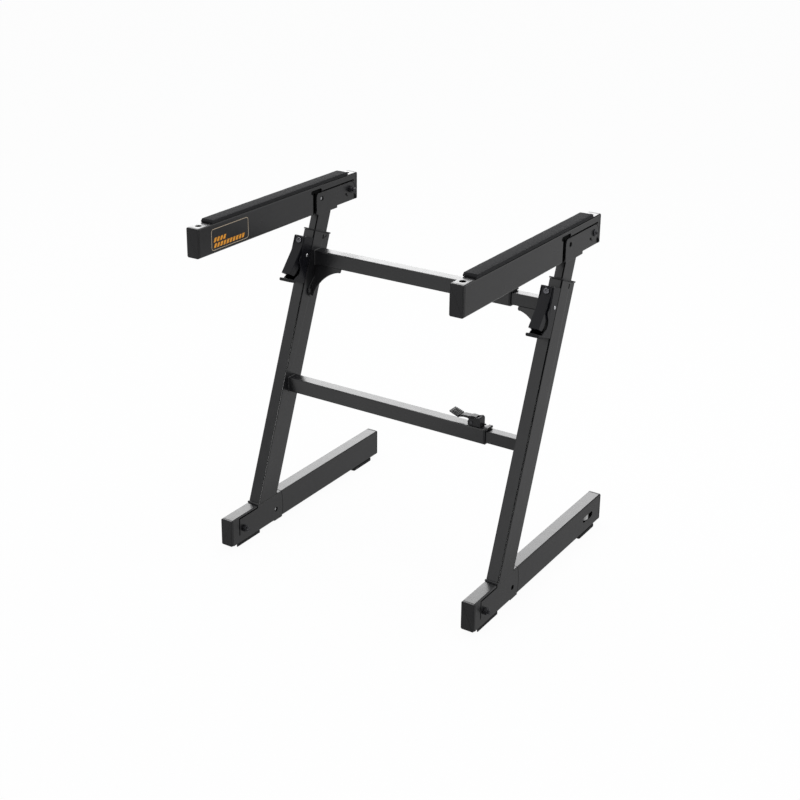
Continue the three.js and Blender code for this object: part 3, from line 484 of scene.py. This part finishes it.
def cross_recess(pin):
    lean = OUT_OF_THE_LEG.to_track_quat("Z", "X").to_matrix()
    depth = max((Vector(corner) - middle_of(pin)).dot(OUT_OF_THE_LEG)
                for corner in [v.co for v in nodes[pin].data.vertices])
    head_face = middle_of(pin) + OUT_OF_THE_LEG * depth
    bars = []
    for quarter in (0, 1):
        bpy.ops.object.select_all(action="DESELECT")
        bpy.ops.mesh.primitive_cube_add(size=1, scale=CROSS_BAR)
        bar = bpy.context.object
        spin = Matrix.Rotation(math.pi / 4 + quarter * math.pi / 2, 3, "Z")
        bar.matrix_world = Matrix.Translation(head_face) @ (lean @ spin).to_4x4() @ bar.matrix_world
        bars.append(bar)
    pick(*bars)
    bpy.ops.object.transform_apply(location=True, rotation=True, scale=True)
    apply_modifier(bars[0], "BOOLEAN", operation="UNION", solver="EXACT", object=bars[1])
    bpy.data.objects.remove(bars[1])
    return bars[0]


print("pin draws along", [round(v, 3) for v in OUT_OF_THE_LEG])

# %% [markdown]
# Each arm tube narrows to a core that turns between the two plates of its bracket. The seam above
# the plates and the slot in front of them are narrow in the imported solid and would be lost in a
# picture, so a thin cutter widens both in the tube's side walls. It is a block with its own middle
# taken out, so that the core of the tube stays whole. The folding tubes are also sliced across where
# these openings end, because the painted shade that they get later has to stop there.

# %% Slots and seams of the folding tubes
SLOT_GROOVES = (
    # first y, last y, low z and high z of each groove in an arm's side walls
    (88, 200, 669.4, 672.0),
    (57.8, 64.5, 626, 677),
)
WALL_INSIDE = 11.2
CORE_SPARE = 4
RECESS_ENDS = {"_arm_tube": (50, 90), "_foot_tube": (-64,)}


def plain_block(size, middle):
    bpy.ops.object.select_all(action="DESELECT")
    bpy.ops.mesh.primitive_cube_add(size=1, location=middle, scale=size)
    bpy.ops.object.transform_apply(location=True, rotation=True, scale=True)
    return bpy.context.object


def side_wall_cutter(node, y0, y1, z0, z1):
    low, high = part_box(node)
    middle = ((low.x + high.x) / 2, (y0 + y1) / 2 * MM, (z0 + z1) / 2 * MM)
    groove = plain_block((high.x - low.x + 2 * MM, (y1 - y0) * MM, (z1 - z0) * MM), middle)
    core_size = (2 * WALL_INSIDE * MM, (y1 - y0 + CORE_SPARE) * MM, (z1 - z0 + CORE_SPARE) * MM)
    cut(groove, plain_block(core_size, middle))
    return groove


def split_across(piece, *places):
    shape = bmesh.new()
    shape.from_mesh(piece.data)
    for y in places:
        slice_at(shape, (0, y * MM, 0), (0, 1, 0))
    shape.to_mesh(piece.data)
    shape.free()


def cutters_for(node):
    if node.endswith("_bolt"):
        return [key_socket(node, node.replace("_bolt", "_nut"))]
    if node.endswith("_latch_pin"):
        return [cross_recess(node)]
    if node.endswith("_arm_tube"):
        return [side_wall_cutter(node, *groove) for groove in SLOT_GROOVES]
    return []


print(len(SLOT_GROOVES), "grooves for each arm")

# %% [markdown]
# Real tube and plate have no razor edges: every one catches a thin line of light. We pick the edges
# that turn by more than 15 degrees and aren't tiny, and bevel them a few tenths of a millimetre.
# Shading smooth by angle rounds the tube corners, and a Weighted Normal modifier lets the big flat
# faces decide the shading, so that a flat side stays truly flat up to its corner.

# %% Ease the edges of the rigid pieces
EDGE = {
    "coated_steel": 0.5,
    "latch_steel": 0.6,
    "black_plastic": 0.35,
    "black_rubber": 0.6,
    "zinc": 0.3,
    "black_steel": 0.3,
    "grey_plastic": 0.3,
}
EDGE_TURN = math.radians(15)
EDGE_LENGTH = 0.9 * MM
SMOOTH_TURN = math.radians(50)


def select_edges_to_ease(piece):
    bpy.ops.object.mode_set(mode="EDIT")
    bpy.ops.mesh.select_mode(type="EDGE")
    shape = bmesh.from_edit_mesh(piece.data)
    for edge in shape.edges:
        edge.select_set(False)
    for edge in shape.edges:
        turned = edge.calc_face_angle(0) > EDGE_TURN
        edge.select_set(turned and edge.calc_length() > EDGE_LENGTH)
    bmesh.update_edit_mesh(piece.data)


def soften_shading(piece):
    pick(piece)
    bpy.ops.object.shade_smooth_by_angle(angle=SMOOTH_TURN)
    apply_modifier(piece, "WEIGHTED_NORMAL", keep_sharp=True, weight=100, thresh=0.01)


def eased(node):
    piece = copy_of(node, node + "_finished")
    slot = SLOT_OF[node]
    for cutter in cutters_for(node):
        cut(piece, cutter)
    for ending, places in RECESS_ENDS.items():
        if node.endswith(ending):
            split_across(piece, *places)
    pick(piece)
    select_edges_to_ease(piece)
    bpy.ops.mesh.bevel(offset=EDGE[slot] * MM, segments=2, profile=0.5, affect="EDGES",
                       clamp_overlap=False)
    bpy.ops.object.mode_set(mode="OBJECT")
    soften_shading(piece)
    material = pin_steel if node.endswith("_latch_pin") else FINISHES[slot]
    dress(piece, material, BODY_OF[node], slot, node)
    return piece


rigid = [node for node in nodes if SLOT_OF[node] != "foam"]
finished = {node: eased(node) for node in rigid}
faces = sum(len(piece.data.polygons) for piece in finished.values())
print(len(finished), "rigid pieces eased,", faces, "faces")

# %% [markdown]
# The rounded corners are given a glossier finish whose colour is painted darker, as painted shade
# that deepens the dark line they mirror. On the four kinds of tube we find the large faces that turn
# both ways, across the stand and through the tube, and give them this finish. They then mirror the
# dark cards and the edge strip as fine lines along each tube.

# %% Glossy corners with painted shade on the tubes
LEFT_X = -281.25
RIGHT_X = 273.75
SIDES = (
    # side, middle of its tubes in x, which way the other side lies
    ("left", LEFT_X, 1),
    ("right", RIGHT_X, -1),
)
CORNER_LEAN = 0.22
CORNER_AREA = 20 * MM * MM
ACROSS = Vector((1, 0, 0))
UPRIGHT = Vector((0, 0, 1))


# Gives the tube corners the glossier finish, with its colour painted darker as shade.
def paint_dark_glossy_corners(node, through):
    piece = finished[node]
    piece.data.materials.append(corner_gloss_painted_dark)
    glossy = piece.data.materials.find(corner_gloss_painted_dark.name)
    count = 0
    for face in piece.data.polygons:
        leans = [abs(face.normal.dot(way)) > CORNER_LEAN for way in (ACROSS, through)]
        if all(leans) and face.area > CORNER_AREA and face.material_index == 0:
            face.material_index = glossy
            count += 1
    return count


for side, _, _ in SIDES:
    for tube, through in (("leg_tube", OUT_OF_THE_LEG), ("inner_tube", OUT_OF_THE_LEG),
                          ("foot_tube", UPRIGHT), ("arm_tube", UPRIGHT)):
        print(side, tube, "corner faces", paint_dark_glossy_corners(f"{side}_{tube}", through))

# %% [markdown]
# The folding joints have narrow slots and seams, and hardly any light gets into them. We give the
# faces that lie deeper than the outer skin of each folding tube, around its tongue, a flat black as
# painted shade, so that slots and seams read as the dark lines that they are.

# %% Painted shade in the recesses of the folding joints
UNDER_SKIN = 13.1
RECESSES = (
    # tube, first y, last y, low z and high z of what is inside a slot or seam
    ("arm_tube", 50, 90, 620, 679.5),
    ("arm_tube", 80, 201, 668, 673.5),
    ("foot_tube", -215, -64, 0, 60),
)


# Paints the faces inside a slot or seam flat black, as painted shade.
def paint_shade_in_recess(node, first_y, last_y, low_z, high_z):
    piece = finished[node]
    middle = middle_of(node).x
    if painted_recess_shade.name not in piece.data.materials:
        piece.data.materials.append(painted_recess_shade)
    black = piece.data.materials.find(painted_recess_shade.name)
    count = 0
    for face in piece.data.polygons:
        under = abs(face.center.x - middle) < UNDER_SKIN * MM
        along = first_y * MM < face.center.y < last_y * MM
        if under and along and low_z * MM < face.center.z < high_z * MM:
            face.material_index = black
            count += 1
    return count


for side, _, _ in SIDES:
    for tube, *limits in RECESSES:
        print(side, tube, "recess faces", paint_shade_in_recess(f"{side}_{tube}", *limits))

# %% [markdown]
# Each arm carries a strip of closed-cell foam. It is cut from sheet, so its sides are straight, with
# slanted ends, edges that are just rounded over, and a top with a slight crown. A box at the strip's
# size is chamfered at its ends, its long edges are bevelled, and it is cut across into short lengths
# so that its top can swell a little and its sides can wander as soft sheet does.

# %% Foam strips
FOAM_HEIGHT = 6.6
FOAM_OVERHANG = 0.6
FOAM_END_SLANT = 3.4
FOAM_EDGE_ROUND = 0.55
FOAM_CROWN = 0.3
FOAM_WANDER = 0.14
FOAM_LENGTHS = 80


def foam_strip(side):
    node = f"{side}_arm_pad"
    low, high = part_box(node)
    high.z = low.z + FOAM_HEIGHT * MM
    low.x -= FOAM_OVERHANG * MM
    high.x += FOAM_OVERHANG * MM
    size = high - low
    strip = plain_block(size, (low + high) / 2)
    strip.name = f"{side}_foam_strip"
    shape = bmesh.new()
    shape.from_mesh(strip.data)
    ends = [e for e in shape.edges if all(v.co.z > high.z - 0.001 for v in e.verts)
            and abs(e.verts[0].co.y - e.verts[1].co.y) < 0.001]
    bmesh.ops.bevel(shape, geom=ends, offset=FOAM_END_SLANT * MM, segments=1, affect="EDGES")
    upper = [e for e in shape.edges if all(v.co.z > high.z - 0.006 for v in e.verts)
             and e.calc_face_angle(0) > 0.3]
    bmesh.ops.bevel(shape, geom=upper, offset=FOAM_EDGE_ROUND * MM, segments=3, profile=0.5,
                    affect="EDGES")
    for step in range(1, FOAM_LENGTHS):
        slice_at(shape, (0, low.y + size.y * step / FOAM_LENGTHS, 0), (0, 1, 0))
    middle = (low.x + high.x) / 2
    for share in (-0.25, 0, 0.25):
        slice_at(shape, (middle + share * size.x, 0, 0), (1, 0, 0))
    for vertex in shape.verts:
        along = (vertex.co.y - low.y) / size.y
        lift = (vertex.co.z - low.z) / size.z
        across = abs(vertex.co.x - middle) / (size.x / 2)
        wave = math.sin(along * 37) + 0.6 * math.sin(along * 83)
        vertex.co.z -= FOAM_CROWN * MM * lift * across * across
        vertex.co.x += FOAM_WANDER * MM * wave * lift
    shape.to_mesh(strip.data)
    shape.free()
    pick(strip)
    bpy.ops.object.shade_smooth_by_angle(angle=math.radians(40))
    dress(strip, foam, BODY_OF[node], "foam", node)
    return strip


strips = [foam_strip(side) for side, _, _ in SIDES]
print("foam strips", [len(s.data.polygons) for s in strips])

# %% [markdown]
# The frame is welded where a leg meets its foot, where the crossbars meet the legs and where the
# upper tube meets its bracket. A hand-laid weld is a row of overlapping ripples. One ripple is a
# sphere squashed along the seam, an Array modifier repeats it along a straight run, and the runs of
# one seam are joined into one bead. The coat goes over it, so it has the tube's finish.

# %% Weld ripples and beads
RIPPLE_STEP = 0.7
RIPPLE_SQUASH = 0.6


def weld_run(start, end, radius):
    start = Vector(start) * MM
    along = Vector(end) * MM - start
    count = max(3, round(along.length / (RIPPLE_STEP * radius * MM)) + 1)
    bpy.ops.object.select_all(action="DESELECT")
    bpy.ops.mesh.primitive_uv_sphere_add(segments=10, ring_count=7, radius=radius * MM)
    ripple = bpy.context.object
    ripple.scale = (RIPPLE_SQUASH, 1, 1)
    ripple.rotation_euler = along.to_track_quat("X", "Z").to_euler()
    ripple.location = start
    bpy.ops.object.transform_apply(location=True, rotation=True, scale=True)
    apply_modifier(ripple, "ARRAY", count=count, use_relative_offset=False,
                   use_constant_offset=True, constant_offset_displace=along / (count - 1))
    return ripple


def weld_bead(name, seam, radius, body):
    runs = [weld_run(start, end, radius) for start, end in zip(seam, seam[1:])]
    pick(*runs)
    if len(runs) > 1:
        bpy.ops.object.join()
    bead = bpy.context.object
    bead.name = name
    bpy.ops.object.shade_smooth()
    dress(bead, powder_coat, body, "coated_steel")
    return bead


print("a ripple every", RIPPLE_STEP, "of its radius")

# %% [markdown]
# Now the seams. Each leg has one across its front and one across its back where it stands on its
# foot bracket. Each upper tube has one all round its neck, under the arm bracket. Each crossbar has
# one all round at the leg it is welded to: the outer tubes at the left leg, the inner ones at the
# right leg.

# %% Welds of the frame
HALF_TUBE = 13.5
LEG_SEAMS = (
    # place, y, z, radius
    ("front", -141.2, 64.2, 2.1),
    ("rear", -78.6, 64, 1.7),
)
SHORT_OF_CORNER = 0.5
NECK_HALF = 9
NECK_FRONT = 81.6
NECK_REAR = 127.2
NECK_Z = 624
BAR_SEAMS = (
    # bar, middle in y and z
    ("lower", -21.4, 292.6),
    ("upper", 73, 538.8),
)
BAR_SEAM_OUT = HALF_TUBE + 0.4


def around_bar(x, y, z, half_y, half_z):
    return [(x, y - half_y, z - half_z), (x, y + half_y, z - half_z), (x, y + half_y, z + half_z),
            (x, y - half_y, z + half_z), (x, y - half_y, z - half_z)]


beads = []
for side, middle, _ in SIDES:
    reach = HALF_TUBE - SHORT_OF_CORNER
    for place, y, z, radius in LEG_SEAMS:
        seam = [(middle - reach, y, z), (middle + reach, y, z)]
        beads.append(weld_bead(f"{side}_weld_leg_{place}", seam, radius, f"{side}_frame"))
    neck = [(middle - NECK_HALF, NECK_FRONT, NECK_Z), (middle + NECK_HALF, NECK_FRONT, NECK_Z),
            (middle + NECK_HALF, NECK_REAR, NECK_Z), (middle - NECK_HALF, NECK_REAR, NECK_Z),
            (middle - NECK_HALF, NECK_FRONT, NECK_Z)]
    beads.append(weld_bead(f"{side}_weld_neck", neck, 1.3, f"{side}_mast"))
for bar, y, z in BAR_SEAMS:
    seam = around_bar(LEFT_X + BAR_SEAM_OUT, y, z, half_y=12.4, half_z=14.6)
    beads.append(weld_bead(f"{bar}_weld_outer_bar", seam, 1.6, "left_frame"))
    seam = around_bar(RIGHT_X - BAR_SEAM_OUT, y, z, half_y=9.8, half_z=11.8)
    beads.append(weld_bead(f"{bar}_weld_inner_bar", seam, 1.5, "right_frame"))
print(len(beads), "weld beads,", sum(len(b.data.polygons) for b in beads), "faces")

# %% [markdown]
# Rivets hold the latch levers, the gussets and the clamp's cam. A rivet head is a low round button.
# One is made from a short cylinder whose rim is bevelled into a dome, and it is copied to each place
# with a mesh of its own. The latch rivets are bright zinc, the gusset rivets are coated over and the
# clamp's are blackened. A place on a leaning leg is given as how far behind the leg's middle line it
# is, less than nothing in front of it, and how far up the leg from its foot.

# %% Rivet heads
LEG_BASE = (-109.7, 63.2)
LEAN_BACK = 0.35641
LEAN_UP = 0.93433
LATCH_RIVET = (-38.8, 506.4)
GUSSET_RIVET = (-7.2, 437)


def on_leg(x, behind, up):
    return (x, LEG_BASE[0] + LEAN_BACK * up + LEAN_UP * behind,
            LEG_BASE[1] + LEAN_UP * up - LEAN_BACK * behind)


def rivet_head():
    bpy.ops.object.select_all(action="DESELECT")
    bpy.ops.mesh.primitive_cylinder_add(vertices=28, radius=1, depth=0.5, location=(0, 0, 0.25))
    head = bpy.context.object
    bpy.ops.object.transform_apply(location=True, rotation=True, scale=True)
    bpy.ops.object.mode_set(mode="EDIT")
    bpy.ops.mesh.select_mode(type="EDGE")
    shape = bmesh.from_edit_mesh(head.data)
    for edge in shape.edges:
        edge.select_set(all(v.co.z > 0.49 for v in edge.verts))
    bmesh.update_edit_mesh(head.data)
    bpy.ops.mesh.bevel(offset=0.42, segments=5, profile=0.6, affect="EDGES")
    bpy.ops.object.mode_set(mode="OBJECT")
    bpy.ops.object.shade_smooth_by_angle(angle=SMOOTH_TURN)
    return head


def place_rivet(name, place, outward, radius, slot, body):
    head = add_to_scene(name, pattern_head.data.copy())
    lean = Vector(outward).to_track_quat("Z", "Y").to_matrix().to_4x4()
    size = Matrix.Scale(radius * MM, 4)
    head.data.transform(Matrix.Translation(Vector(place) * MM) @ lean @ size)
    dress(head, FINISHES[slot], body, slot)
    return head


pattern_head = rivet_head()
rivets = []
for side, middle, inward in SIDES:
    for facing in (-1, 1):
        which = "inner" if facing == inward else "outer"
        place = on_leg(middle + facing * (HALF_TUBE + 0.2), *LATCH_RIVET)
        rivets.append(place_rivet(f"{side}_latch_rivet_{which}", place, (facing, 0, 0), 3.4,
                                  "zinc", f"{side}_frame"))
    place = on_leg(middle + inward * (HALF_TUBE + 2.7), *GUSSET_RIVET)
    rivets.append(place_rivet(f"{side}_gusset_rivet", place, (inward, 0, 0), 4.2,
                              "coated_steel", f"{side}_frame"))
for name, y, facing in (("front", -31.0, -1), ("rear", -11.8, 1)):
    rivets.append(place_rivet(f"clamp_rivet_{name}", (159.25, y, 314.2), (0, facing, 0), 3.1,
                              "black_steel", "left_frame"))
bpy.data.objects.remove(pattern_head)
print(len(rivets), "rivet heads")

# %% [markdown]
# A thick black sleeve is pushed over the foot of each latch housing, where a finger rests. It is a
# block in the leg's own lean, as wide as the leg, with well rounded edges. The thumb paddle of the
# width clamp has a few moulded grip ribs: each is a slim bar with rounded edges, copied along it.

# %% Latch sleeves and grip ribs
LEG_LEAN = Matrix(((1, 0, 0), (0, LEAN_UP, LEAN_BACK), (0, -LEAN_BACK, LEAN_UP)))
SLEEVE_PLACE = (-68.2, 449.9)
SLEEVE_SIZE = (26.8, 22.5, 6.2)
PADDLE_START = Vector((117.6, -21.4, 328.35))
PADDLE_END = Vector((131.2, -21.4, 323.75))
RIB_COUNT = 5
RIB_SIZE = (1.3, 20, 1.1)


def rounded_block(name, middle, lean, size, radius, segments):
    bpy.ops.object.select_all(action="DESELECT")
    bpy.ops.mesh.primitive_cube_add(size=1)
    block = bpy.context.object
    block.name = name
    stretch = Matrix.Diagonal((*[length * MM for length in size], 1))
    block.data.transform(Matrix.Translation(Vector(middle) * MM) @ lean.to_4x4() @ stretch)
    apply_modifier(block, "BEVEL", width=radius * MM, segments=segments)
    soften_shading(block)
    return block


for side, middle, _ in SIDES:
    place = on_leg(middle, *SLEEVE_PLACE)
    sleeve = rounded_block(f"{side}_latch_sleeve", place, LEG_LEAN, SLEEVE_SIZE, 2.3, 4)
    dress(sleeve, rubber, f"{side}_frame", "black_rubber")

along = (PADDLE_END - PADDLE_START).normalized()
paddle_lean = Matrix(((along.x, 0, -along.z), (0, 1, 0), (along.z, 0, along.x)))
ribs = []
for step in range(RIB_COUNT):
    place = PADDLE_START.lerp(PADDLE_END, step / (RIB_COUNT - 1))
    ribs.append(rounded_block("grip_rib", place, paddle_lean, RIB_SIZE, 0.4, 2))
pick(*ribs)
bpy.ops.object.join()
grip = bpy.context.object
grip.name = "clamp_grip_ribs"
dress(grip, moulding, "clamp_lever", "black_plastic")
print("two sleeves and", RIB_COUNT, "grip ribs")

# %% [markdown]
# The end of each hinge bolt stands out of its nut and shows its thread. A thread is one small
# triangle wound round the bolt as it climbs: the Screw modifier does exactly that, with the pitch
# of an 8 mm bolt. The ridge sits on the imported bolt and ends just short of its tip.

# %% Bolt threads
PITCH = 1.25
RIDGE_INSIDE = 3.85 * MM
RIDGE_OUTSIDE = 4.35 * MM
GAP_AT_NUT = 0.7
SHORT_OF_TIP = 1.4
STEPS_ROUND = 24


def thread(node, nut):
    low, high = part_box(node)
    nut_low, nut_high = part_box(nut)
    middle = middle_of(node)
    outward = 1 if middle_of(nut).x > middle.x else -1
    begin = nut_high.x if outward > 0 else nut_low.x
    tip = high.x if outward > 0 else low.x
    turns = max(1, int((abs(tip - begin) / MM - SHORT_OF_TIP) / PITCH))
    half = 0.45 * PITCH * MM
    shape = bpy.data.meshes.new(node + "_thread")
    shape.from_pydata([(RIDGE_INSIDE, 0, -half), (RIDGE_OUTSIDE, 0, -0.1 * half),
                       (RIDGE_OUTSIDE, 0, 0.1 * half), (RIDGE_INSIDE, 0, half)],
                      [(0, 1), (1, 2), (2, 3), (3, 0)], [])
    ridge = add_to_scene(node + "_thread", shape)
    apply_modifier(ridge, "SCREW", angle=2 * math.pi, screw_offset=PITCH * MM, iterations=turns,
                   steps=STEPS_ROUND, render_steps=STEPS_ROUND, use_normal_calculate=True,
                   use_merge_vertices=True)
    lean = Vector((outward, 0, 0)).to_track_quat("Z", "Y").to_matrix().to_4x4()
    start = Vector((begin + outward * GAP_AT_NUT * MM, middle.y, middle.z))
    ridge.data.transform(Matrix.Translation(start) @ lean)
    face_outwards(ridge)
    bpy.ops.object.shade_smooth_by_angle(angle=math.radians(35))
    dress(ridge, black_steel, BODY_OF[node], "black_steel")
    return ridge


bolts = [node for node in nodes if node.endswith("_bolt")]
threads = [thread(node, node.replace("_bolt", "_nut")) for node in bolts]
print(len(threads), "threads of", PITCH, "mm pitch")

# %% [markdown]
# A thin printed label sits on the inner side of the left arm near its front end. It carries a plain
# rounded frame line and two rows of slanted bars, a generic stripe pattern. Ink and film are only a
# tenth of a millimetre thick, so each mark is a flat shape given that thickness with Solidify. The
# inks have a finish each, with the slight mottle of screen print.

# %% Inks and flat marks
LABEL_X = LEFT_X + HALF_TUBE
LABEL_FILM = 0.12
ink_cream = finish("label_line", (0.62, 0.5, 0.36), 0.45, specular=0.3)
uneven_color(ink_cream, 500, (0.5, 0.4, 0.28), (0.68, 0.56, 0.42))
ink_orange = finish("label_orange", (0.82, 0.33, 0.02), 0.42, specular=0.3)
uneven_color(ink_orange, 400, (0.72, 0.27, 0.015), (0.88, 0.38, 0.03))


def flat_mark(name, outline):
    shape = bpy.data.meshes.new(name)
    points = [(LABEL_X * MM, y * MM, z * MM) for y, z in outline]
    shape.from_pydata(points, [], [tuple(range(len(points)))])
    return add_to_scene(name, shape)


def join_marks(name, marks, material):
    pick(*marks)
    if len(marks) > 1:
        bpy.ops.object.join()
    label = bpy.context.object
    label.name = name
    apply_modifier(label, "SOLIDIFY", thickness=LABEL_FILM * MM, offset=1)
    face_outwards(label)
    dress(label, material, "left_arm", "coated_steel")
    return label


print("two inks")

# %% [markdown]
# The frame line starts as one rounded face, which is inset by the width of the line. Its middle is
# then deleted. The bars are four-cornered marks that lean back as they rise, a long row below and a
# short one above. They are printed, so one spacing serves both rows.

# %% Printed stripe label
LINE_WIDTH = 0.9
BAR_WIDTH = 6
BAR_PITCH = 9
BAR_SLANT = 0.45
BAR_ROWS = (
    # low z, high z, first y, last y
    (638.5, 646.5, -252, -158),
    (649.5, 657.5, -252, -214),
)


def rounded_outline(y0, y1, z0, z1, radius, steps=6):
    points = []
    for y, z, start in ((y1 - radius, z1 - radius, 0), (y0 + radius, z1 - radius, 90),
                        (y0 + radius, z0 + radius, 180), (y1 - radius, z0 + radius, 270)):
        for step in range(steps + 1):
            angle = math.radians(start + 90 * step / steps)
            points.append((y + radius * math.cos(angle), z + radius * math.sin(angle)))
    return points


def slanted_bar(y, low_z, high_z):
    slant = BAR_SLANT * (high_z - low_z)
    return flat_mark("bar", [(y, low_z), (y + BAR_WIDTH, low_z), (y + BAR_WIDTH + slant, high_z),
                             (y + slant, high_z)])


border = flat_mark("border", rounded_outline(y0=-258, y1=-150, z0=634, z1=675, radius=6))
pick(border)
bpy.ops.object.mode_set(mode="EDIT")
bpy.ops.mesh.select_all(action="SELECT")
bpy.ops.mesh.inset(thickness=LINE_WIDTH * MM)
bpy.ops.mesh.delete(type="FACE")
bpy.ops.object.mode_set(mode="OBJECT")
label_border = join_marks("label_border", [border], ink_cream)

bars = []
for low_z, high_z, first, last in BAR_ROWS:
    for y in range(first, last - BAR_PITCH + 1, BAR_PITCH):
        bars.append(slanted_bar(y, low_z, high_z))
label_bars = join_marks("label_bars", bars, ink_orange)
print("label", len(label_border.data.polygons), "+", len(label_bars.data.polygons), "faces")
